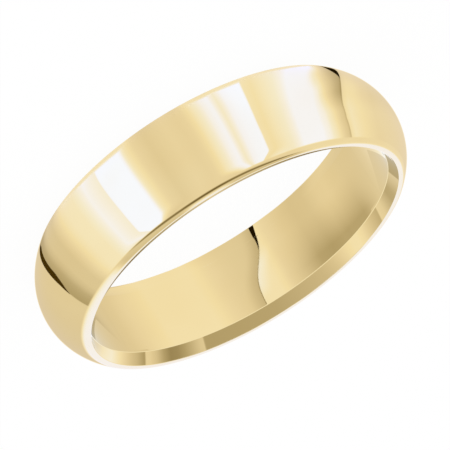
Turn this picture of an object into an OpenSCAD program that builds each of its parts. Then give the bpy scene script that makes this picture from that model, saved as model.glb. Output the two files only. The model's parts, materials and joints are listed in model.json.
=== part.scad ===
// Plain half-round wedding band, turned in one piece.
// It lies flat: the bore runs along Z and the middle of the bore is the origin.

/* [Bore] */
// Inside diameter, where the finger goes
bore_d = 20.6; // [14:0.1:24]

/* [Band] */
// Width of the band, from one side face to the other
band_w = 6; // [4:0.1:8]
// Wall thickness at the crown of the dome
crown_t = 1.95; // [1.6:0.05:2.8]
// Wall thickness where the dome would run out into the side face
edge_t = 0.64; // [0.5:0.02:1]

/* [Edges] */
// Radius that rolls the dome over into each side face
rim_r = 0.25; // [0.1:0.01:0.35]
// How far the inner bevel cuts into the wall, measured on the side face
bevel_t = 0.28; // [0.1:0.01:0.32]
// How far the inner bevel reaches along the bore
bevel_l = 0.85; // [0.4:0.05:1.4]
// Radius of the soft corner between the bevel and the bore
throat_r = 0.3; // [0.1:0.05:0.6]

/* [Hidden] */
$fn = 180;

bore_r = bore_d / 2;
half_w = band_w / 2;
crown_r = bore_r + crown_t;
// The dome is one arc: it drops by dome_drop over half the width
dome_drop = crown_t - edge_t;
dome_r = (half_w * half_w + dome_drop * dome_drop) / (2 * dome_drop);
dome_c = crown_r - dome_r;
// Centre of the rim's roll, which touches the dome and the side face from inside
rim_z = half_w - rim_r;
rim_x = dome_c + sqrt(pow(dome_r - rim_r, 2) - pow(rim_z, 2));
// Both ends of the bevel's straight cut
side_corner = [bore_r + bevel_t, half_w];
throat_corner = [bore_r, half_w - bevel_l];
// How far the cutting shapes stand out of the metal
over = 0.5;

function unit(v) = v / norm(v);

// What a soft corner of radius r takes off at p, between the edges towards a and b
module corner_waste(p, a, b, r) {
    u = unit(a - p);
    v = unit(b - p);
    half_angle = acos(u * v) / 2;
    inward = unit(u + v);
    centre = p + inward * r / sin(half_angle);
    difference() {
        polygon([centre, p + u * r / tan(half_angle), p - inward * over, p + v * r / tan(half_angle)]);
        translate(centre) circle(r);
    }
}

// What the inner bevel and its soft corner take off
module bevel_waste() {
    polygon([
        throat_corner,
        side_corner,
        side_corner + [0, over],
        throat_corner + [-over, bevel_l + over],
        throat_corner + [-over, 0]
    ]);
    corner_waste(throat_corner, [bore_r, 0], side_corner, throat_r);
}

// What rolling the dome over into the side face takes off
module rim_waste() {
    centre = [rim_x, rim_z];
    on_side = [rim_x, half_w];
    on_dome = centre + unit([rim_x - dome_c, rim_z]) * rim_r;
    difference() {
        polygon([
            centre,
            on_side,
            on_side + [0, over],
            [on_dome[0] + over, half_w + over],
            on_dome + [over, 0],
            on_dome
        ]);
        translate(centre) circle(rim_r);
    }
}

// Section of the wall, with X as the distance from the bore's axis
module wall_section() {
    difference() {
        intersection() {
            translate([bore_r, -half_w]) square([crown_t, band_w]);
            translate([dome_c, 0]) circle(dome_r);
        }
        for (side = [0, 1]) {
            mirror([0, side]) {
                bevel_waste();
                rim_waste();
            }
        }
    }
}

module band() {
    color("gold") rotate_extrude() wall_section();
}

band();
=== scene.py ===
import json
import math

import bpy
from mathutils import Matrix, Vector


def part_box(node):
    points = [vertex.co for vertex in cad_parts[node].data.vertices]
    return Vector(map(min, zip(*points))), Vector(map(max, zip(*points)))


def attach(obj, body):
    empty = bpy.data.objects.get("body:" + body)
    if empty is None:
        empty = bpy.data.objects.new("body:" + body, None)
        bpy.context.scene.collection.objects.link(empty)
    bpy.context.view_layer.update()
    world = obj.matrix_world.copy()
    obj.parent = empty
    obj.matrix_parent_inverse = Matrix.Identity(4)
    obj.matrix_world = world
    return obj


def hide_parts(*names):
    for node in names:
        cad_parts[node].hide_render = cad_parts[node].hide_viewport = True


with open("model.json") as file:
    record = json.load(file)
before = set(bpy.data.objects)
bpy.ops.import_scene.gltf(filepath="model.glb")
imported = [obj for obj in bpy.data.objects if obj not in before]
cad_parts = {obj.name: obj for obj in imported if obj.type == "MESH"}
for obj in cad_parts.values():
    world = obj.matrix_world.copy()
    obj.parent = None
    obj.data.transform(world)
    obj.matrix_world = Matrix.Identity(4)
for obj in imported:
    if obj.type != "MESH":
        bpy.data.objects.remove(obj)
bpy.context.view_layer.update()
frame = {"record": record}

mm = 0.001
degree = math.pi / 180

# The ring lies flat and is shown tipped over, so the camera is rolled and the ring stays put.
cameraSettings = {
    "distance": 309.0 * mm,  # from the middle of the bore
    "elevation": 22.78,      # degrees above the floor
    "roll": 148.0,           # degrees
    "lens": 410.35,
    "slideRight": 0.193 * mm,
    "slideUp": -0.355 * mm,
}


def placeCamera(settings):
    rise = settings["elevation"] * degree
    roll = settings["roll"] * degree
    back = Vector((0, -math.cos(rise), math.sin(rise)))
    level = Vector((1, 0, 0))
    upright = back.cross(level)
    right = level * math.cos(roll) + upright * math.sin(roll)
    up = upright * math.cos(roll) - level * math.sin(roll)
    data = bpy.data.cameras.new("ringCamera")
    data.lens = settings["lens"]
    data.sensor_width = 36
    data.clip_start = 0.01
    data.clip_end = 20
    camera = bpy.data.objects.new("ringCamera", data)
    place = back * settings["distance"] + right * settings["slideRight"] + up * settings["slideUp"]
    turn = Matrix((right, up, back)).transposed().to_4x4()
    camera.matrix_world = Matrix.Translation(place) @ turn
    bpy.context.scene.collection.objects.link(camera)
    bpy.context.scene.camera = camera
    return back


towardsCamera = placeCamera(cameraSettings)
print("camera placed")


# Helpers for node trees: feed() takes a plain value or another node's output.
def feed(tree, value, socket):
    if isinstance(value, bpy.types.NodeSocket):
        tree.links.new(value, socket)
    else:
        socket.default_value = value


def addNode(tree, kind, values=None, **settings):
    node = tree.nodes.new(kind)
    for name, value in settings.items():
        setattr(node, name, value)
    for key, value in (values or {}).items():
        feed(tree, value, node.inputs[key])
    return node


def calc(tree, operation, a, b=None, c=None, clamp=False):
    node = addNode(tree, "ShaderNodeMath", operation=operation, use_clamp=clamp)
    for socket, value in zip(node.inputs, (a, b, c)):
        if value is not None:
            feed(tree, value, socket)
    return node.outputs[0]


def vectorCalc(tree, operation, a, b=None, output=0):
    node = addNode(tree, "ShaderNodeVectorMath", operation=operation)
    feed(tree, a, node.inputs[0])
    if b is not None:
        feed(tree, b, node.inputs[1])
    return node.outputs[output]


def ease(tree, value, low, high, fromValue=0.0, toValue=1.0):
    node = addNode(tree, "ShaderNodeMapRange", interpolation_type="SMOOTHSTEP")
    keys = ("Value", "From Min", "From Max", "To Min", "To Max")
    for key, item in zip(keys, (value, low, high, fromValue, toValue)):
        feed(tree, item, node.inputs[key])
    return node.outputs["Result"]


def blendValue(tree, factor, a, b):
    node = addNode(tree, "ShaderNodeMix", data_type="FLOAT")
    feed(tree, factor, node.inputs[0])
    feed(tree, a, node.inputs[2])
    feed(tree, b, node.inputs[3])
    return node.outputs[0]


def blendColour(tree, factor, a, b, how="MIX"):
    node = addNode(tree, "ShaderNodeMix", data_type="RGBA", blend_type=how)
    feed(tree, factor, node.inputs[0])
    feed(tree, a, node.inputs[6])
    feed(tree, b, node.inputs[7])
    return node.outputs[2]


# 1 between the two limits, 0 outside them
def between(tree, value, low, high):
    above = calc(tree, "GREATER_THAN", value, low)
    return calc(tree, "MULTIPLY", above, calc(tree, "LESS_THAN", value, high))


# Stops given from low to high become a ramp's, from 0 to 1.
def spread(stops, low, high):
    return [((place - low) / (high - low), tone) for place, tone in stops]


def ramp(tree, factor, stops):
    node = addNode(tree, "ShaderNodeValToRGB", {"Fac": factor})
    elements = node.color_ramp.elements
    while len(elements) > 1:
        elements.remove(elements[-1])
    for number, (place, tone) in enumerate(stops):
        item = elements[0] if number == 0 else elements.new(place)
        item.position = place
        item.color = (*tone, 1) if isinstance(tone, tuple) else (tone, tone, tone, 1)
    return node.outputs["Color"]


def newGroup(name, inputs, outputs):
    kinds = {"value": "NodeSocketFloat", "colour": "NodeSocketColor", "vector": "NodeSocketVector"}
    tree = bpy.data.node_groups.new(name, "ShaderNodeTree")
    for label, kind, start in inputs:
        socket = tree.interface.new_socket(label, in_out="INPUT", socket_type=kinds[kind])
        socket.default_value = start
    for label, kind in outputs:
        tree.interface.new_socket(label, in_out="OUTPUT", socket_type=kinds[kind])
    return tree, tree.nodes.new("NodeGroupInput").outputs, tree.nodes.new("NodeGroupOutput").inputs


def useGroup(tree, group, **values):
    node = tree.nodes.new("ShaderNodeGroup")
    node.node_tree = group
    for key, value in values.items():
        feed(tree, value, node.inputs[key])
    return node.outputs


# Shared gold effects. Sizes inside the groups are in millimetres.
def makeGoldTone():
    inputs = [
        ("Rich", "colour", (0.9, 0.7, 0.37, 1)),
        ("Pale", "colour", (0.92, 0.74, 0.42, 1)),
        ("Patch", "value", 4.0),
    ]
    tree, given, made = newGroup("goldTone", inputs, [("Colour", "colour")])
    spot = addNode(tree, "ShaderNodeTexCoord").outputs["Object"]
    cloud = addNode(tree, "ShaderNodeTexNoise", {"Vector": spot, "Detail": 2.0, "Roughness": 0.5})
    feed(tree, calc(tree, "DIVIDE", 1000.0, given["Patch"]), cloud.inputs["Scale"])
    share = ease(tree, cloud.outputs["Fac"], 0.35, 0.65)
    feed(tree, blendColour(tree, share, given["Rich"], given["Pale"]), made["Colour"])
    return tree


def makeTurnedLines():
    tree, given, made = newGroup(
        "turnedLines",
        [("Across", "value", 0.0), ("Lines per mm", "value", 12.0), ("Drift", "value", 3.0)],
        [("Height", "value")],
    )
    spot = addNode(tree, "ShaderNodeTexCoord").outputs["Object"]
    flat = vectorCalc(tree, "MULTIPLY", spot, (1, 1, 0))
    around = vectorCalc(tree, "SCALE", vectorCalc(tree, "NORMALIZE", flat))
    feed(tree, given["Drift"], around.node.inputs["Scale"])
    height = addNode(tree, "ShaderNodeCombineXYZ")
    steps = calc(tree, "MULTIPLY", given["Across"], calc(tree, "MULTIPLY", given["Lines per mm"], 1000.0))
    feed(tree, steps, height.inputs["Z"])
    place = vectorCalc(tree, "ADD", around, height.outputs[0])
    grain = addNode(
        tree, "ShaderNodeTexNoise", {"Vector": place, "Scale": 1.0, "Detail": 3.0, "Roughness": 0.6}
    )
    feed(tree, grain.outputs["Fac"], made["Height"])
    return tree


def makeClothMarks():
    tree, given, made = newGroup(
        "clothMarks",
        [("Size", "value", 0.5), ("Sharpness", "value", 0.6)],
        [("Height", "value"), ("Haze", "value")],
    )
    spot = addNode(tree, "ShaderNodeTexCoord").outputs["Object"]
    near = addNode(tree, "ShaderNodeTexNoise", {"Vector": spot, "Detail": 4.0, "Distortion": 0.6})
    feed(tree, calc(tree, "DIVIDE", 1000.0, given["Size"]), near.inputs["Scale"])
    feed(tree, given["Sharpness"], near.inputs["Roughness"])
    far = addNode(tree, "ShaderNodeTexNoise", {"Vector": spot, "Scale": 260.0, "Detail": 2.0})
    feed(tree, near.outputs["Fac"], made["Height"])
    haze = calc(tree, "MULTIPLY", ease(tree, near.outputs["Fac"], 0.4, 0.7), far.outputs["Fac"])
    feed(tree, haze, made["Haze"])
    return tree


goldTone = makeGoldTone()
turnedLines = makeTurnedLines()
clothMarks = makeClothMarks()

outsidePolish = {
    "rich": (0.905, 0.715, 0.372, 1),
    "pale": (0.915, 0.735, 0.395, 1),
    "patch": 5.0,          # mm across a patch of tone
    "roughness": 0.025,
    "haze": 0.02,          # added where the cloth dulled it
    "edgeHaze": 0.04,      # added along rubbed edges
    "linesPerMm": 9.0,
    "lineDrift": 2.0,
    "lineDepth": 0.010,    # micrometres
    "markSize": 0.45,
    "markDepth": 0.012,
}
insidePolish = {
    "rich": (0.9, 0.705, 0.36, 1),
    "pale": (0.915, 0.73, 0.39, 1),
    "patch": 6.0,
    "roughness": 0.025,
    "haze": 0.02,
    "edgeHaze": 0.04,
    "linesPerMm": 11.0,
    "lineDrift": 2.5,
    "lineDepth": 0.03,
    "markSize": 0.5,
    "markDepth": 0.012,
}


def makeGold(name, finish):
    material = bpy.data.materials.new(name)
    material.use_nodes = True
    tree = material.node_tree
    tree.nodes.clear()
    tone = useGroup(tree, goldTone, Rich=finish["rich"], Pale=finish["pale"], Patch=finish["patch"])
    across = addNode(tree, "ShaderNodeAttribute", attribute_name="across").outputs["Fac"]
    rubbed = addNode(tree, "ShaderNodeAttribute", attribute_name="rubbed").outputs["Fac"]
    lines = useGroup(
        tree, turnedLines,
        **{"Across": across, "Lines per mm": finish["linesPerMm"], "Drift": finish["lineDrift"]},
    )
    marks = useGroup(tree, clothMarks, Size=finish["markSize"])
    lineHeight = calc(tree, "MULTIPLY", lines["Height"], finish["lineDepth"])
    markHeight = calc(tree, "MULTIPLY", marks["Height"], finish["markDepth"])
    bump = addNode(
        tree, "ShaderNodeBump",
        {"Strength": 1.0, "Distance": 0.001 * mm, "Height": calc(tree, "ADD", lineHeight, markHeight)},
    )
    dull = calc(tree, "MULTIPLY_ADD", marks["Haze"], finish["haze"], finish["roughness"])
    dull = calc(tree, "MULTIPLY_ADD", rubbed, finish["edgeHaze"], dull)
    gold = addNode(
        tree, "ShaderNodeBsdfPrincipled",
        {"Base Color": tone["Colour"], "Roughness": dull, "Normal": bump.outputs["Normal"]},
    )
    gold.inputs["Metallic"].default_value = 1.0
    result = tree.nodes.new("ShaderNodeOutputMaterial")
    tree.links.new(gold.outputs[0], result.inputs["Surface"])
    return material


outsideGold = makeGold("outsideGold", outsidePolish)
insideGold = makeGold("insideGold", insidePolish)
print("gold finishes made")


# The band is turned from one section: crown, rim roll, flat side, lip, bevel, throat and bore.
boreMount = next(mount for mount in frame["record"]["mounts"] if mount["name"] == "finger_bore")
bandLow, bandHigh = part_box("band")
bandSizes = {
    "Bore Radius": boreMount["dims"]["r_mm"] * mm,
    "Width": bandHigh.z - bandLow.z,
    "Outside Radius": bandHigh.x,
    "Edge Wall": 0.64 * mm,      # wall where the crown would meet the side
    "Rim Roll": 0.25 * mm,
    "Bevel Depth": 0.28 * mm,
    "Bevel Length": 0.85 * mm,
    "Throat Radius": 0.3 * mm,
    "Lip Radius": 0.05 * mm,
    "Guard": 0.02 * mm,          # narrow cuts that keep the straight parts straight
}
bandSteps = {"Around": 480, "Crown": 34, "Roll": 14, "Side": 1, "Lip": 5, "Bevel": 2, "Throat": 4, "Bore": 2}
weldGap = 0.002 * mm  # points closer than this become one


def makeTurningTree():
    tree = bpy.data.node_groups.new("bandTurning", "GeometryNodeTree")
    tree.interface.new_socket("Band", in_out="OUTPUT", socket_type="NodeSocketGeometry")
    for name in bandSizes:
        tree.interface.new_socket(name, in_out="INPUT", socket_type="NodeSocketFloat")
    for name in bandSteps:
        tree.interface.new_socket(name + " Steps", in_out="INPUT", socket_type="NodeSocketInt")
    given = tree.nodes.new("NodeGroupInput").outputs

    def work(operation, a, b=None):
        return calc(tree, operation, a, b)

    bore = given["Bore Radius"]
    half = work("MULTIPLY", given["Width"], 0.5)
    drop = work("SUBTRACT", work("SUBTRACT", given["Outside Radius"], bore), given["Edge Wall"])
    squares = work("ADD", work("MULTIPLY", half, half), work("MULTIPLY", drop, drop))
    crown = work("DIVIDE", squares, work("MULTIPLY", drop, 2.0))
    crownMiddle = work("SUBTRACT", given["Outside Radius"], crown)
    roll = given["Rim Roll"]
    rollRise = work("SUBTRACT", half, roll)
    reach = work("SUBTRACT", crown, roll)
    rollSquares = work("SUBTRACT", work("MULTIPLY", reach, reach), work("MULTIPLY", rollRise, rollRise))
    rollReach = work("SQRT", rollSquares)
    rollMiddle = work("ADD", crownMiddle, rollReach)
    crownTurn = work("ARCTAN2", rollRise, rollReach)
    slope = work("ARCTAN2", given["Bevel Depth"], given["Bevel Length"])
    bevelTurn = work("SUBTRACT", math.pi, slope)
    lip = given["Lip Radius"]
    lipTangent = work("TANGENT", work("SUBTRACT", math.pi / 4, work("MULTIPLY", slope, 0.5)))
    lipMiddle = work("ADD", work("ADD", bore, given["Bevel Depth"]), work("MULTIPLY", lip, lipTangent))
    lipRise = work("SUBTRACT", half, lip)
    throat = given["Throat Radius"]
    throatMiddle = work("ADD", bore, throat)
    throatTangent = work("TANGENT", work("MULTIPLY", slope, 0.5))
    throatRise = work("SUBTRACT", half, given["Bevel Length"])
    throatRise = work("SUBTRACT", throatRise, work("MULTIPLY", throat, throatTangent))

    def spot(out, rise):
        node = tree.nodes.new("ShaderNodeCombineXYZ")
        feed(tree, work("SUBTRACT", out, bore), node.inputs["X"])
        feed(tree, rise, node.inputs["Y"])
        return node.outputs[0]

    def spotOnArc(out, rise, radius, turn):
        return spot(
            work("ADD", out, work("MULTIPLY", radius, work("COSINE", turn))),
            work("ADD", rise, work("MULTIPLY", radius, work("SINE", turn))),
        )

    def mark(shape, name, value, domain="POINT"):
        node = addNode(
            tree, "GeometryNodeStoreNamedAttribute", {"Geometry": shape, "Name": name},
            data_type="FLOAT", domain=domain,
        )
        feed(tree, value, node.inputs["Value"])
        return node.outputs[0]

    def marked(name):
        node = addNode(tree, "GeometryNodeInputNamedAttribute", {"Name": name}, data_type="FLOAT")
        return node.outputs[0]

    strips = []
    run = [0.0]  # how far the strips reach so far, measured across the band

    def keep(curve, rubbed, inside, length):
        along = addNode(tree, "GeometryNodeSplineParameter").outputs["Length"]
        curve = mark(curve, "across", work("ADD", along, run[0]))
        curve = mark(curve, "rubbed", rubbed)
        curve = mark(curve, "inside", inside)
        strips.append(curve)
        run[0] = work("ADD", length, run[0])

    def arc(out, rise, radius, start, end, steps, rubbed, inside):
        sweep = work("SUBTRACT", end, start)
        points = work("ADD", given[steps], 1.0)
        curve = addNode(
            tree, "GeometryNodeCurveArc",
            {"Resolution": points, "Radius": radius, "Start Angle": start, "Sweep Angle": sweep},
            mode="RADIUS",
        ).outputs[0]
        moved = addNode(tree, "GeometryNodeTransform", {"Geometry": curve, "Translation": spot(out, rise)})
        keep(moved.outputs[0], rubbed, inside, work("MULTIPLY", radius, sweep))

    def line(start, end, steps, rubbed, inside):
        curve = addNode(tree, "GeometryNodeCurvePrimitiveLine", {"Start": start, "End": end}).outputs[0]
        length = vectorCalc(tree, "DISTANCE", start, end, output="Value")
        points = work("ADD", given[steps], 3.0)
        cut = addNode(tree, "GeometryNodeResampleCurve", {"Curve": curve, "Count": points})
        number = addNode(tree, "GeometryNodeInputIndex").outputs[0]
        guard = work("DIVIDE", given["Guard"], length)
        share = work("DIVIDE", work("SUBTRACT", number, 1.0), given[steps])
        share = work("MINIMUM", work("MAXIMUM", share, guard), work("SUBTRACT", 1.0, guard))
        afterFirst = work("GREATER_THAN", number, 0.5)
        atLast = work("GREATER_THAN", number, work("ADD", given[steps], 1.5))
        share = work("MAXIMUM", work("MULTIPLY", share, afterFirst), atLast)
        place = addNode(tree, "ShaderNodeMix", data_type="VECTOR")
        for key, value in zip((0, 4, 5), (share, start, end)):
            feed(tree, value, place.inputs[key])
        moved = addNode(
            tree, "GeometryNodeSetPosition", {"Geometry": cut.outputs[0], "Position": place.outputs[1]}
        )
        keep(moved.outputs[0], rubbed, inside, length)

    quarter = math.pi / 2
    arc(crownMiddle, 0.0, crown, 0.0, crownTurn, "Crown Steps", 0.0, 0.0)
    arc(rollMiddle, rollRise, roll, crownTurn, quarter, "Roll Steps", 1.0, 0.0)
    line(spot(rollMiddle, half), spot(lipMiddle, half), "Side Steps", 0.3, 0.0)
    arc(lipMiddle, lipRise, lip, quarter, bevelTurn, "Lip Steps", 1.0, 1.0)
    line(
        spotOnArc(lipMiddle, lipRise, lip, bevelTurn), spotOnArc(throatMiddle, throatRise, throat, bevelTurn),
        "Bevel Steps", 0.0, 1.0,
    )
    arc(throatMiddle, throatRise, throat, bevelTurn, math.pi, "Throat Steps", 0.5, 1.0)
    line(spot(bore, throatRise), spot(bore, 0.0), "Bore Steps", 0.0, 1.0)

    upper = addNode(tree, "GeometryNodeJoinGeometry")
    for curve in strips:
        tree.links.new(curve, upper.inputs[0])
    # The lower half is the upper one mirrored, run the other way, with its lengths negative.
    mirrored = addNode(tree, "GeometryNodeTransform", {"Geometry": upper.outputs[0], "Scale": (1, -1, 1)})
    reversedHalf = addNode(tree, "GeometryNodeReverseCurve", {"Curve": mirrored.outputs[0]})
    lower = mark(reversedHalf.outputs[0], "across", work("MULTIPLY", marked("across"), -1.0))
    section = addNode(tree, "GeometryNodeJoinGeometry")
    tree.links.new(upper.outputs[0], section.inputs[0])
    tree.links.new(lower, section.inputs[0])

    path = addNode(
        tree, "GeometryNodeCurvePrimitiveCircle", {"Resolution": given["Around Steps"], "Radius": bore}
    )
    upright = addNode(tree, "GeometryNodeSetCurveNormal", {"Curve": path.outputs[0]}, mode="Z_UP")
    swept = addNode(
        tree, "GeometryNodeCurveToMesh", {"Curve": upright.outputs[0], "Profile Curve": section.outputs[0]}
    )
    perCorner = mark(swept.outputs[0], "across", marked("across"), domain="CORNER")
    welded = addNode(tree, "GeometryNodeMergeByDistance", {"Geometry": perCorner, "Distance": weldGap})
    smooth = addNode(tree, "GeometryNodeSetShadeSmooth", {"Geometry": welded.outputs[0]})
    whole = addNode(tree, "GeometryNodeRealizeInstances", {"Geometry": smooth.outputs[0]})
    outside = addNode(
        tree, "GeometryNodeSetMaterial", {"Geometry": whole.outputs[0], "Material": outsideGold}
    )
    lined = addNode(
        tree, "GeometryNodeSetMaterial", {"Geometry": outside.outputs[0], "Material": insideGold}
    )
    feed(tree, work("GREATER_THAN", marked("inside"), 0.6), lined.inputs["Selection"])
    tree.links.new(lined.outputs[0], tree.nodes.new("NodeGroupOutput").inputs[0])
    return tree


def turnBand():
    tree = makeTurningTree()
    band = bpy.data.objects.new("weddingBand", bpy.data.meshes.new("blank"))
    bpy.context.scene.collection.objects.link(band)
    turning = band.modifiers.new("bandTurning", "NODES")
    turning.node_group = tree
    values = dict(bandSizes)
    values.update({name + " Steps": count for name, count in bandSteps.items()})
    for item in tree.interface.items_tree:
        if item.item_type == "SOCKET" and item.in_out == "INPUT":
            turning[item.identifier] = values[item.name]
    bpy.context.view_layer.update()
    evaluated = band.evaluated_get(bpy.context.evaluated_depsgraph_get())
    mesh = bpy.data.meshes.new_from_object(evaluated)
    band.modifiers.clear()
    mesh.name = "weddingBand"
    band.data = mesh
    return band


weddingBand = turnBand()
print("band turned:", len(weddingBand.data.vertices), "points,", len(weddingBand.data.polygons), "faces")

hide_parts("band")
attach(weddingBand, "root")


# The studio. Tones run from 0, black, to 1, a panel so bright and cool that gold shows it as white.
toneSteps = [
    (0.00, (0.0, 0.0, 0.0)),
    (0.06, (0.08, 0.05, 0.005)),
    (0.18, (0.23, 0.19, 0.10)),
    (0.38, (0.49, 0.46, 0.36)),
    (0.52, (0.68, 0.66, 0.60)),
    (0.64, (0.83, 0.82, 0.78)),
    (0.70, (0.90, 0.90, 0.89)),
    (0.76, (0.98, 1.00, 0.98)),
    (0.82, (1.00, 1.07, 1.22)),
    (0.88, (1.00, 1.12, 1.45)),
    (0.92, (1.02, 1.17, 1.77)),
    (0.96, (1.02, 1.24, 2.25)),
    (1.00, (1.03, 1.30, 2.47)),
]


def makePanelTone():
    tree, given, made = newGroup("panelTone", [("Tone", "value", 0.7)], [("Colour", "colour")])
    feed(tree, ramp(tree, given["Tone"], toneSteps), made["Colour"])
    return tree


panelTone = makePanelTone()

# The tent's panels, for gold only: degrees round from the side nearest the camera, and tone. They are laid
# out for the main camera's direction, which is a fixed one, and stay put when the view moves.
tentPanels = {
    "right": [
        (0, 0.695), (4, 0.68), (6, 0.70), (8, 0.765), (10, 0.87), (12, 0.94), (14, 0.97), (16, 0.88),
        (18, 0.955), (20, 0.985), (23.4, 1.0), (23.6, 0.79), (26, 0.76), (28, 0.80), (32, 0.88), (34, 0.92),
        (36, 0.96), (44, 0.96), (46, 0.92), (48, 0.79), (51, 0.62), (53, 0.50), (55, 0.42), (55.3, 0.30),
        (55.6, 0.30), (55.7, 0.72), (58, 0.76), (61, 0.75), (65, 0.70), (70, 0.66), (100, 0.64),
    ],
    "rightHigh": [  # the same stretch beside the right seam, seen higher up
        (44, 0.96), (47, 0.92), (49, 0.84), (51, 0.76), (53, 0.67), (55, 0.60), (55.3, 0.48), (55.6, 0.48),
        (55.7, 0.76), (58, 0.82), (61, 0.78), (65, 0.74), (70, 0.70), (100, 0.68),
    ],
    "rightLow": [  # and lower down
        (38, 0.955), (42, 0.95), (44, 0.87), (46, 0.76), (48, 0.65), (50, 0.55), (52, 0.48), (55, 0.42),
        (55.3, 0.30), (55.6, 0.30), (55.7, 0.66), (58, 0.70), (65, 0.68), (100, 0.64),
    ],
    "left": [
        (0, 0.695), (3, 0.67), (6, 0.64), (10, 0.70), (13, 0.81), (14, 0.925), (15, 1.0), (23.4, 1.0),
        (23.7, 0.90), (26, 0.92), (29, 0.945), (32, 0.88), (34, 0.825), (38, 0.82), (40, 0.79), (42, 0.735),
        (44, 0.665), (46, 0.60), (50, 0.60), (52, 0.54), (53, 0.49), (54, 0.44), (55.5, 0.41), (58.4, 0.37),
        (58.6, 0.63), (64, 0.63), (74, 0.61), (100, 0.60),
    ],
    "rim": [  # degrees above level, over the near side
        (41.8, 0.70), (42.9, 0.20), (43.7, 0.20), (44.7, 0.61), (48, 0.57), (60, 0.56), (68, 0.62),
        (76, 0.90), (90, 0.94),
    ],
    "rimMiddle": [  # the same at the very middle
        (41.8, 0.70), (42.9, 0.14), (43.7, 0.14), (44.8, 0.64), (46.5, 0.82), (58, 0.92), (90, 0.94),
    ],
    "rimRight": [(42, 0.72), (64, 0.75), (72, 0.82), (80, 0.92), (90, 0.93)],  # at the right end of the ring
    "rimLeft": [(41.5, 0.72), (43.5, 0.90), (47, 0.93), (90, 0.93)],  # and at the left
}
# Where those panels bend and end: degrees round or degrees of rise, unless a note says otherwise.
tentShape = {
    "leanBelow": 15.0,            # panels lean outwards below this
    "leanPower": 1.5,             # a power
    "leanRate": 0.041,            # a factor
    "leanStart": 2.38,
    "leanAbove": 25.0,            # and a little above this
    "leanAboveRate": 0.1,         # a factor
    "fullLean": 54.0,             # the lean grows until here
    "rightPower": 1.8,            # a power
    "leftRate": 0.39,             # a factor
    "brightMiddle": 18.0,         # the two brightest panels
    "brightEdges": (14.0, 5.0),   # how far from their middle the rounding fades
    "roundAbove": 34.0,
    "roundOver": 7.0,
    "highBeside": (44.0, 46.5),   # where rightHigh takes over
    "highRise": (0.0, 20.0),
    "lowBeside": (40.0, 46.0),    # where rightLow takes over
    "lowRise": (0.0, -26.0),
    "rightSeam": 55.6,
    "wedgeWidth": 5.6,
    "wedgeRise": (-12.0, -36.0),
    "wedgeTop": -13.0,
    "wedgeTone": 0.01,            # a tone
    "leftSeam": 58.5,
    "crescentStart": 56.1,
    "crescentWidth": 2.7,
    "crescentRise": 2.0,
    "crescentOver": 24.0,
    "crescentPower": 1.3,         # a power
    "crescentFoot": (-28.0, -38.0),
    "crescentTone": 0.045,        # a tone
    "rimSlide": 0.003,            # a factor
    "rimMiddle": (4.0, 11.0),
    "rimRightEnd": (-40.0, -30.0),
    "rimLeftEnd": (42.0, 33.0),
    "rimLeftFades": (165.0, 115.0),
    "rimRise": (40.5, 42.0),      # where the rim's lights take over
    "lowEnd": (-35.0, -42.0),
    "lowEndTone": 0.78,           # a tone
    "backdropFacing": (0.14, 0.05),  # how squarely a surface faces the camera, from 0 to 1
    "backdropTone": 0.80,         # a tone
    "edgePower": 5.0,             # a power
}


# The direction halfway between a ray and the main camera: how far round, how far up, and how squarely
# it faces that camera.
def leanOf(tree):
    sight = vectorCalc(tree, "NORMALIZE", addNode(tree, "ShaderNodeTexCoord").outputs["Generated"])
    lean = vectorCalc(tree, "ADD", sight, tuple(towardsCamera))
    parts = addNode(tree, "ShaderNodeSeparateXYZ", {"Vector": lean}).outputs
    flat = vectorCalc(tree, "LENGTH", vectorCalc(tree, "MULTIPLY", lean, (1, 1, 0)), output="Value")
    facing = calc(tree, "MULTIPLY", vectorCalc(tree, "LENGTH", lean, output="Value"), 0.5)
    around = calc(tree, "ARCTAN2", parts["X"], calc(tree, "MULTIPLY", parts["Y"], -1.0))
    rise = calc(tree, "ARCTAN2", parts["Z"], flat)
    return calc(tree, "DEGREES", around), calc(tree, "DEGREES", rise), facing


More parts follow.
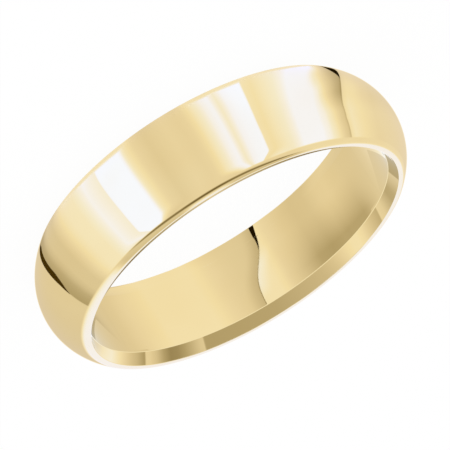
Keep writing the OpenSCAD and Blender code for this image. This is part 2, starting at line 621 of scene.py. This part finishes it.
def sideTone(tree, around, rise):
    shape = tentShape
    # Panels lean outwards low down, and a little high up.
    low = calc(tree, "MAXIMUM", calc(tree, "SUBTRACT", shape["leanBelow"], rise), 0.0)
    drift = calc(tree, "MULTIPLY", calc(tree, "POWER", low, shape["leanPower"]), shape["leanRate"])
    drift = calc(tree, "SUBTRACT", drift, shape["leanStart"])
    high = calc(tree, "MAXIMUM", calc(tree, "SUBTRACT", rise, shape["leanAbove"]), 0.0)
    drift = calc(tree, "MULTIPLY_ADD", high, shape["leanAboveRate"], drift)
    leftward = calc(tree, "GREATER_THAN", around, 0.0)
    away = calc(tree, "ABSOLUTE", around)
    share = calc(tree, "DIVIDE", calc(tree, "MINIMUM", away, shape["fullLean"]), shape["fullLean"])
    rightShare = calc(tree, "POWER", share, shape["rightPower"])
    leftShare = calc(tree, "MULTIPLY", share, shape["leftRate"])
    share = blendValue(tree, leftward, rightShare, leftShare)
    away = calc(tree, "SUBTRACT", away, calc(tree, "MULTIPLY", drift, share))
    # The two brightest panels narrow to rounded tops.
    fromMiddle = calc(tree, "SUBTRACT", away, shape["brightMiddle"])
    narrowing = calc(tree, "MAXIMUM", calc(tree, "SUBTRACT", rise, shape["roundAbove"]), 0.0)
    narrowing = calc(tree, "DIVIDE", narrowing, shape["roundOver"])
    narrowing = calc(tree, "MULTIPLY", narrowing, narrowing)
    nearMiddle = ease(tree, calc(tree, "ABSOLUTE", fromMiddle), *shape["brightEdges"])
    away = calc(tree, "MULTIPLY_ADD", fromMiddle, calc(tree, "MULTIPLY", narrowing, nearMiddle), away)
    place = calc(tree, "DIVIDE", away, 100.0, clamp=True)
    names = ("right", "rightHigh", "rightLow", "left")
    right, rightHigh, rightLow, left = [
        ramp(tree, place, spread(tentPanels[name], 0, 100)) for name in names
    ]
    highShare = ease(tree, away, *shape["highBeside"])
    highShare = calc(tree, "MULTIPLY", highShare, ease(tree, rise, *shape["highRise"]))
    right = blendValue(tree, highShare, right, rightHigh)
    lowShare = ease(tree, away, *shape["lowBeside"])
    lowShare = calc(tree, "MULTIPLY", lowShare, ease(tree, rise, *shape["lowRise"]))
    right = blendValue(tree, lowShare, right, rightLow)
    # A black wedge sits under the right seam, and a black crescent beside the left one.
    wedge = calc(tree, "MULTIPLY", ease(tree, rise, *shape["wedgeRise"]), shape["wedgeWidth"])
    wedge = calc(tree, "SUBTRACT", shape["rightSeam"], wedge)
    inWedge = between(tree, away, wedge, shape["rightSeam"])
    inWedge = calc(tree, "MULTIPLY", inWedge, calc(tree, "LESS_THAN", rise, shape["wedgeTop"]))
    right = blendValue(tree, inWedge, right, shape["wedgeTone"])
    closing = calc(tree, "MAXIMUM", calc(tree, "SUBTRACT", rise, shape["crescentRise"]), 0.0)
    closing = calc(tree, "DIVIDE", closing, shape["crescentOver"])
    closing = calc(tree, "POWER", closing, shape["crescentPower"])
    closing = calc(tree, "MULTIPLY_ADD", closing, shape["crescentWidth"], shape["crescentStart"])
    foot = ease(tree, rise, *shape["crescentFoot"], 0.0, shape["crescentWidth"])
    closing = calc(tree, "ADD", closing, foot)
    crescent = between(tree, away, closing, shape["leftSeam"])
    left = blendValue(tree, crescent, left, shape["crescentTone"])
    return blendValue(tree, leftward, right, left)


def rimTone(tree, around, rise):
    shape = tentShape
    # The rim's lights lie lower towards the right.
    slide = calc(tree, "MULTIPLY", around, calc(tree, "ABSOLUTE", around))
    height = calc(tree, "MULTIPLY_ADD", slide, shape["rimSlide"], rise)
    height = calc(tree, "DIVIDE", height, 90.0, clamp=True)
    rim = ramp(tree, height, spread(tentPanels["rim"], 0, 90))
    middle = ramp(tree, height, spread(tentPanels["rimMiddle"], 0, 90))
    rim = blendValue(tree, ease(tree, calc(tree, "ABSOLUTE", around), *shape["rimMiddle"]), middle, rim)
    steep = calc(tree, "DIVIDE", rise, 90.0, clamp=True)
    rightEnd = ramp(tree, steep, spread(tentPanels["rimRight"], 0, 90))
    leftEnd = ramp(tree, steep, spread(tentPanels["rimLeft"], 0, 90))
    onLeft = ease(tree, around, *shape["rimLeftFades"])
    onLeft = calc(tree, "MULTIPLY", calc(tree, "GREATER_THAN", around, 0.0), onLeft)
    ends = blendValue(tree, onLeft, rightEnd, leftEnd)
    nearSide = ease(tree, around, *shape["rimRightEnd"])
    nearSide = calc(tree, "MULTIPLY", nearSide, ease(tree, around, *shape["rimLeftEnd"]))
    return blendValue(tree, nearSide, ends, rim)


def makeTent():
    world = bpy.data.worlds.new("lightTent")
    bpy.context.scene.world = world
    world.use_nodes = True
    tree = world.node_tree
    tree.nodes.clear()
    around, rise, facing = leanOf(tree)
    tone = sideTone(tree, around, rise)
    tone = blendValue(tree, ease(tree, rise, *tentShape["rimRise"]), tone, rimTone(tree, around, rise))
    # Low down the panels end, and their light warms off.
    lowTone = ease(tree, rise, *tentShape["lowEnd"], 1.0, tentShape["lowEndTone"])
    tone = calc(tree, "MINIMUM", tone, lowTone)
    # A pale backdrop stands behind the ring.
    behind = ease(tree, facing, *tentShape["backdropFacing"])
    tone = blendValue(tree, behind, tone, tentShape["backdropTone"])
    colour = useGroup(tree, panelTone, Tone=tone)["Colour"]
    # Gold pales towards its edges, so the panels seen there are warmer.
    edge = calc(tree, "POWER", calc(tree, "SUBTRACT", 1.0, facing, clamp=True), tentShape["edgePower"])
    warm = blendColour(tree, edge, colour, outsidePolish["rich"], how="MULTIPLY")
    panels = addNode(tree, "ShaderNodeBackground", {"Color": warm, "Strength": 1.0})
    plain = addNode(tree, "ShaderNodeBackground", {"Color": (1, 1, 1, 1), "Strength": 1.0})
    glossy = addNode(tree, "ShaderNodeLightPath").outputs["Is Glossy Ray"]
    either = addNode(tree, "ShaderNodeMixShader", {"Fac": glossy})
    tree.links.new(plain.outputs[0], either.inputs[1])
    tree.links.new(panels.outputs[0], either.inputs[2])
    tree.links.new(either.outputs[0], tree.nodes.new("ShaderNodeOutputWorld").inputs["Surface"])


makeTent()


def makeStageObject(name, points, faces, material):
    mesh = bpy.data.meshes.new(name)
    mesh.from_pydata(points, [], faces)
    mesh.materials.append(material)
    thing = bpy.data.objects.new(name, mesh)
    bpy.context.scene.collection.objects.link(thing)
    return thing


floorSettings = {"reach": 3.0, "gap": 0.02 * mm, "glow": 0.95, "shade": 0.05}


def makeFloor(settings):
    material = bpy.data.materials.new("paleFloor")
    material.use_nodes = True
    paper = material.node_tree.nodes["Principled BSDF"]
    paper.inputs["Base Color"].default_value = (settings["shade"],) * 3 + (1,)
    paper.inputs["Roughness"].default_value = 1.0
    paper.inputs["Specular IOR Level"].default_value = 0.0
    paper.inputs["Emission Color"].default_value = (1, 1, 1, 1)
    paper.inputs["Emission Strength"].default_value = settings["glow"]
    reach = settings["reach"]
    level = bandLow.z - settings["gap"]
    corners = [(-reach, -reach, level), (reach, -reach, level), (reach, reach, level), (-reach, reach, level)]
    floor = makeStageObject("paleFloor", corners, [(0, 1, 2, 3)], material)
    floor.visible_glossy = False
    return floor


makeFloor(floorSettings)

# Glowing walls that only the polished gold sees: painted reflections. They stand a hair off the metal and
# are toned for the main camera, so the bore and the bevels show their tones as reflections. One stands inside
# the bore and hangs below it: degrees round the wall from the middle of the far side, and tone. Heights are
# in millimetres where no unit is given.
boreGlow = {
    "radius": 10.29 * mm,
    "top": 2.12 * mm,
    "bottom": -13.0 * mm,
    "nearer": [
        (-90, 0.59), (-75, 0.60), (-62, 0.61), (-56, 0.64), (-50, 0.70), (-41, 0.76), (-38, 0.78),
        (-20, 0.78), (-17, 0.76), (-14, 0.72), (-11, 0.69), (-8, 0.66), (-5, 0.64), (0, 0.62), (8, 0.58),
    ],
    "further": [
        (-5, 0.79), (4, 0.79), (7, 0.77), (10, 0.71), (13, 0.68), (16, 0.65), (19, 0.62), (22, 0.59),
        (28, 0.60), (34, 0.67), (38, 0.68), (43, 0.65), (49, 0.62), (60, 0.61), (90, 0.60),
    ],
    "upperShade": [
        (5, 0.0), (13, 0.07), (22, 0.18), (37, 0.27), (47, 0.22), (54, 0.06), (58, 0.0), (90, 0.0),
    ],
    "shadeFoot": -1.0,
    "shadeOver": 2.8,
    "shadePower": 1.5,
    "seamMiddle": 2.5,         # degrees
    "seamSwing": 5.0,          # degrees
    "seamHeight": -0.25,
    "seamReach": 1.4,
    "gleam": 0.10,             # lighter just past the seam
    "gleamFades": (5.5, 0.5),  # degrees
    "gleamFoot": (-1.4, 0.0),
    "gleamTop": (2.2, 1.0),
    "dusk": 0.13,              # darker just before it
    "duskFades": (-6.0, 0.0),  # degrees
    "seamEdge": (-0.1, 0.15),  # degrees
    "hairWidth": 0.16,         # degrees
    "hairTone": 0.3,
    "slitWidth": 1.6,          # degrees
    "slitHeights": (-0.6, -3.0),
    "slitTop": -1.1,
    "slitTone": 0.01,
    "straightAcross": 20.56,   # how far a sight line runs before it lands
    "wallTop": 2.13,
    "cameRoundAbove": 2.7,
    "cameRoundPast": 34.0,     # degrees
    "cupHole": 0.01 * mm,
    "cupMiddle": 5.5 * mm,
    "cupHeight": -2.7,
}
# The other stands just above the bore and gives the bevel its light and brown stretches, a painted
# reflection.
bevelGlow = {
    "radius": 10.28 * mm,
    "bottom": 2.13 * mm,
    "top": 3.26 * mm,
    "nearer": [
        (0, 0.41), (25, 0.38), (27.2, 0.38), (27.6, 0.62), (29, 0.60), (32, 0.48), (35, 0.38), (38, 0.30),
        (41, 0.28), (44, 0.40), (47, 0.57), (50, 0.67), (51.8, 0.68), (52.5, 0.36), (56, 0.50), (59, 0.58),
        (62, 0.67), (65, 0.75), (71, 0.86), (77, 0.77), (83, 0.65), (92, 0.56),
    ],
    "further": [
        (0, 0.41), (4, 0.43), (13, 0.48), (19, 0.51), (22, 0.55), (25, 0.60), (28, 0.67), (31, 0.74),
        (34, 0.78), (37, 0.78), (40, 0.73), (43, 0.64), (46, 0.56), (50.5, 0.46), (51.0, 0.69), (54, 0.65),
        (57.5, 0.52), (61, 0.42), (64, 0.43), (69, 0.55), (73, 0.61), (73.6, 0.40), (84, 0.42), (91, 0.42),
    ],
    "nearLip": [(95, 0.92), (116, 0.90), (128, 0.30), (142, 0.22), (156, 0.36), (170, 0.48), (180, 0.62)],
    "nearLipFrom": 93.0,          # degrees
    "stretch": 0.98,
    "leanHeight": 2.6,            # the stretches lean about this height
    "leanFrom": (20.0, 50.0),     # degrees
    "lean": 5.0,                  # degrees for each mm
    # The bright hairline below is a painted highlight in the throat's reflection.
    "hairlineTop": 2.185,         # a bright hairline runs along the throat
    "hairlineTone": 0.79,
}
# The lower bevel mirrors a strip of the same tones, a painted reflection.
lowBevelGlow = {
    "bottom": -3.6 * mm,
    "top": -2.13 * mm,
    "start": -5.0,
    "sweep": 190.0,
    "middle": 1.155,
    "halfHeight": 1.553,
}
# Two clear walls outside keep other sight lines from meeting the glowing ones.
veilSettings = {"radii": (10.75 * mm, 10.85 * mm), "top": -3.01 * mm, "tooDeep": 2.5}
sightSlope = math.tan(cameraSettings["elevation"] * degree)


def makeBoreReflectionTone():
    tree, given, made = newGroup(
        "boreReflectionTone", [("Around", "value", 0.0), ("Height", "value", 0.0)], [("Tone", "value")]
    )
    around, height = given["Around"], given["Height"]
    glow = boreGlow
    # A dark seam of painted reflection runs down the wall in a slow S.
    swing = calc(tree, "DIVIDE", calc(tree, "SUBTRACT", height, glow["seamHeight"]), glow["seamReach"])
    swing = calc(tree, "MULTIPLY", calc(tree, "TANH", swing), glow["seamSwing"])
    past = calc(tree, "SUBTRACT", around, calc(tree, "SUBTRACT", glow["seamMiddle"], swing))
    place = calc(tree, "DIVIDE", calc(tree, "ADD", around, 90.0), 180.0, clamp=True)
    nearer, further, shade = [
        ramp(tree, place, spread(glow[name], -90, 90)) for name in ("nearer", "further", "upperShade")
    ]
    upper = calc(tree, "SUBTRACT", height, glow["shadeFoot"])
    upper = calc(tree, "DIVIDE", upper, glow["shadeOver"], clamp=True)
    shade = calc(tree, "MULTIPLY", shade, calc(tree, "POWER", upper, glow["shadePower"]))
    further = calc(tree, "SUBTRACT", further, shade)
    # Painted reflection: lighter just past the seam, darker just before it.
    gleam = ease(tree, past, *glow["gleamFades"], 0.0, glow["gleam"])
    gleam = calc(tree, "MULTIPLY", gleam, ease(tree, height, *glow["gleamFoot"]))
    gleam = calc(tree, "MULTIPLY", gleam, ease(tree, height, *glow["gleamTop"]))
    further = calc(tree, "ADD", further, gleam)
    nearer = calc(tree, "SUBTRACT", nearer, ease(tree, past, *glow["duskFades"], 0.0, glow["dusk"]))
    tone = blendValue(tree, ease(tree, past, *glow["seamEdge"]), nearer, further)
    # A thin dark line of painted reflection marks the seam.
    hair = calc(tree, "LESS_THAN", calc(tree, "ABSOLUTE", past), glow["hairWidth"])
    tone = blendValue(tree, hair, tone, glow["hairTone"])
    # Low down the seam opens into a black slit, a painted dark reflection.
    width = ease(tree, height, *glow["slitHeights"], 0.0, glow["slitWidth"])
    inSlit = calc(tree, "GREATER_THAN", calc(tree, "ADD", past, width), 0.0)
    inSlit = calc(tree, "MULTIPLY", inSlit, calc(tree, "LESS_THAN", past, 0.1))
    inSlit = calc(tree, "MULTIPLY", inSlit, calc(tree, "LESS_THAN", height, glow["slitTop"]))
    feed(tree, blendValue(tree, inSlit, tone, glow["slitTone"]), made["Tone"])
    return tree


boreReflectionTone = makeBoreReflectionTone()


# A glow shows on one side only, and not at all to a sight line that has already come in through the veils.
def makeGlow(name, toneOf):
    material = bpy.data.materials.new(name)
    material.use_nodes = True
    material.cycles.emission_sampling = "NONE"
    tree = material.node_tree
    tree.nodes.clear()
    colour = useGroup(tree, panelTone, Tone=toneOf(tree))["Colour"]
    shine = addNode(tree, "ShaderNodeEmission", {"Color": colour, "Strength": 1.0})
    clear = tree.nodes.new("ShaderNodeBsdfTransparent")
    back = addNode(tree, "ShaderNodeNewGeometry").outputs["Backfacing"]
    depth = addNode(tree, "ShaderNodeLightPath").outputs["Transparent Depth"]
    veiled = calc(tree, "GREATER_THAN", depth, veilSettings["tooDeep"])
    side = addNode(tree, "ShaderNodeMixShader", {"Fac": calc(tree, "MAXIMUM", back, veiled)})
    tree.links.new(shine.outputs[0], side.inputs[1])
    tree.links.new(clear.outputs[0], side.inputs[2])
    tree.links.new(side.outputs[0], tree.nodes.new("ShaderNodeOutputMaterial").inputs["Surface"])
    return material


# A place on a wall: x and y in metres, the height in millimetres.
def placeOf(tree):
    spot = addNode(tree, "ShaderNodeTexCoord").outputs["Object"]
    x, y, z = addNode(tree, "ShaderNodeSeparateXYZ", {"Vector": spot}).outputs
    return x, y, calc(tree, "MULTIPLY", z, 1000.0)


# Degrees round from the middle of the far side
def turnFromFar(tree, x, y):
    return calc(tree, "DEGREES", calc(tree, "ARCTAN2", calc(tree, "MULTIPLY", x, -1.0), y))


# The curtain's tones are the bore's painted reflection. A sight line off the wall crosses the bore and lands
# three times as far round. Past 60 degrees it comes round again, higher up than any line from the middle of
# the wall.
def curtainTone(tree):
    x, y, z = placeOf(tree)
    drop = boreGlow["straightAcross"] * sightSlope
    turn = calc(tree, "DIVIDE", calc(tree, "ARCTAN2", x, calc(tree, "MULTIPLY", y, -1.0)), 3.0)
    height = calc(tree, "MULTIPLY_ADD", calc(tree, "COSINE", turn), drop, z)
    thirdTurn = calc(tree, "MULTIPLY", calc(tree, "SIGN", turn), 120 * degree)
    other = calc(tree, "SUBTRACT", turn, thirdTurn)
    otherHeight = calc(tree, "MULTIPLY_ADD", calc(tree, "COSINE", other), drop, z)
    lowest = calc(tree, "MULTIPLY", calc(tree, "COSINE", other), 2 * drop)
    lowest = calc(tree, "SUBTRACT", boreGlow["cameRoundAbove"], lowest)
    cameRound = calc(tree, "GREATER_THAN", height, boreGlow["wallTop"])
    cameRound = calc(tree, "MULTIPLY", cameRound, calc(tree, "GREATER_THAN", z, lowest))
    farEnough = calc(tree, "GREATER_THAN", calc(tree, "ABSOLUTE", turn), boreGlow["cameRoundPast"] * degree)
    cameRound = calc(tree, "MULTIPLY", cameRound, farEnough)
    turn = calc(tree, "DEGREES", blendValue(tree, cameRound, turn, other))
    height = blendValue(tree, cameRound, height, otherHeight)
    return useGroup(tree, boreReflectionTone, Around=turn, Height=height)["Tone"]


# The cup under the bore carries the same painted reflection.
def cupTone(tree):
    x, y, z = placeOf(tree)
    turn = calc(tree, "ARCTAN2", x, calc(tree, "SUBTRACT", boreGlow["cupMiddle"], y))
    turn = calc(tree, "DEGREES", calc(tree, "MULTIPLY", turn, 0.5))
    return useGroup(tree, boreReflectionTone, Around=turn, Height=boreGlow["cupHeight"])["Tone"]


# The bevel panel's tones: the bevel's painted reflection.
def bevelReflectionTone(tree):
    x, y, z = placeOf(tree)
    glow = bevelGlow
    turn = calc(tree, "MULTIPLY", turnFromFar(tree, x, y), glow["stretch"])
    # On the right the stretches lean over.
    lean = ease(tree, turn, *glow["leanFrom"], 0.0, glow["lean"])
    lean = calc(tree, "MULTIPLY", calc(tree, "SUBTRACT", z, glow["leanHeight"]), lean)
    turn = calc(tree, "ADD", turn, lean)
    away = calc(tree, "ABSOLUTE", turn)
    place = calc(tree, "DIVIDE", away, 92.0, clamp=True)
    nearer = ramp(tree, place, spread(glow["nearer"], 0, 92))
    further = ramp(tree, place, spread(glow["further"], 0, 92))
    tone = blendValue(tree, calc(tree, "GREATER_THAN", turn, 0.0), nearer, further)
    inHairline = calc(tree, "LESS_THAN", z, glow["hairlineTop"])
    tone = blendValue(tree, inHairline, tone, glow["hairlineTone"])
    nearLip = ramp(tree, calc(tree, "DIVIDE", away, 180.0), spread(glow["nearLip"], 0, 180))
    return blendValue(tree, calc(tree, "GREATER_THAN", away, glow["nearLipFrom"]), tone, nearLip)


def lowBevelReflectionTone(tree):
    x, y, z = placeOf(tree)
    height = calc(tree, "SUBTRACT", z, lowBevelGlow["middle"])
    height = calc(tree, "DIVIDE", height, lowBevelGlow["halfHeight"])
    return useGroup(tree, boreReflectionTone, Around=turnFromFar(tree, x, y), Height=height)["Tone"]


# A wall runs from one radius and height to another. A part sweep leaves it open.
def makeWall(name, rings, material, start=0.0, sweep=360.0):
    count = 360
    closed = sweep > 359
    last = count if closed else count - 1
    points = []
    for radius, height in rings:
        for step in range(count):
            turn = (start + sweep * step / last) * degree
            points.append((radius * math.cos(turn), radius * math.sin(turn), height))
    faces = [(step, (step + 1) % count, count + (step + 1) % count, count + step) for step in range(last)]
    wall = makeStageObject(name, points, faces, material)
    wall.visible_camera = False
    wall.visible_diffuse = False
    wall.visible_transmission = False
    wall.visible_volume_scatter = False
    wall.visible_shadow = False
    return wall


def makeVeil():
    material = bpy.data.materials.new("clearVeil")
    material.use_nodes = True
    tree = material.node_tree
    tree.nodes.clear()
    clear = tree.nodes.new("ShaderNodeBsdfTransparent")
    tree.links.new(clear.outputs[0], tree.nodes.new("ShaderNodeOutputMaterial").inputs["Surface"])
    return material


def makeReflectors():
    inner = boreGlow["radius"]
    bottom = boreGlow["bottom"]
    curtain = [(inner, boreGlow["top"]), (inner, bottom)]
    makeWall("boreCurtain", curtain, makeGlow("boreCurtain", curtainTone))
    makeWall("boreCup", [(boreGlow["cupHole"], bottom), (inner, bottom)], makeGlow("boreCup", cupTone))
    for radius in veilSettings["radii"]:
        makeWall("boreVeil", [(radius, veilSettings["top"]), (radius, bottom)], makeVeil())
    radius = bevelGlow["radius"]
    panel = [(radius, bevelGlow["bottom"]), (radius, bevelGlow["top"])]
    makeWall("bevelPanel", panel, makeGlow("bevelPanel", bevelReflectionTone))
    lowPanel = [(radius, lowBevelGlow["bottom"]), (radius, lowBevelGlow["top"])]
    makeWall(
        "lowBevelPanel", lowPanel, makeGlow("lowBevelPanel", lowBevelReflectionTone),
        start=lowBevelGlow["start"], sweep=lowBevelGlow["sweep"],
    )


makeReflectors()

bpy.context.scene.view_settings.view_transform = "Standard"
print("studio set")
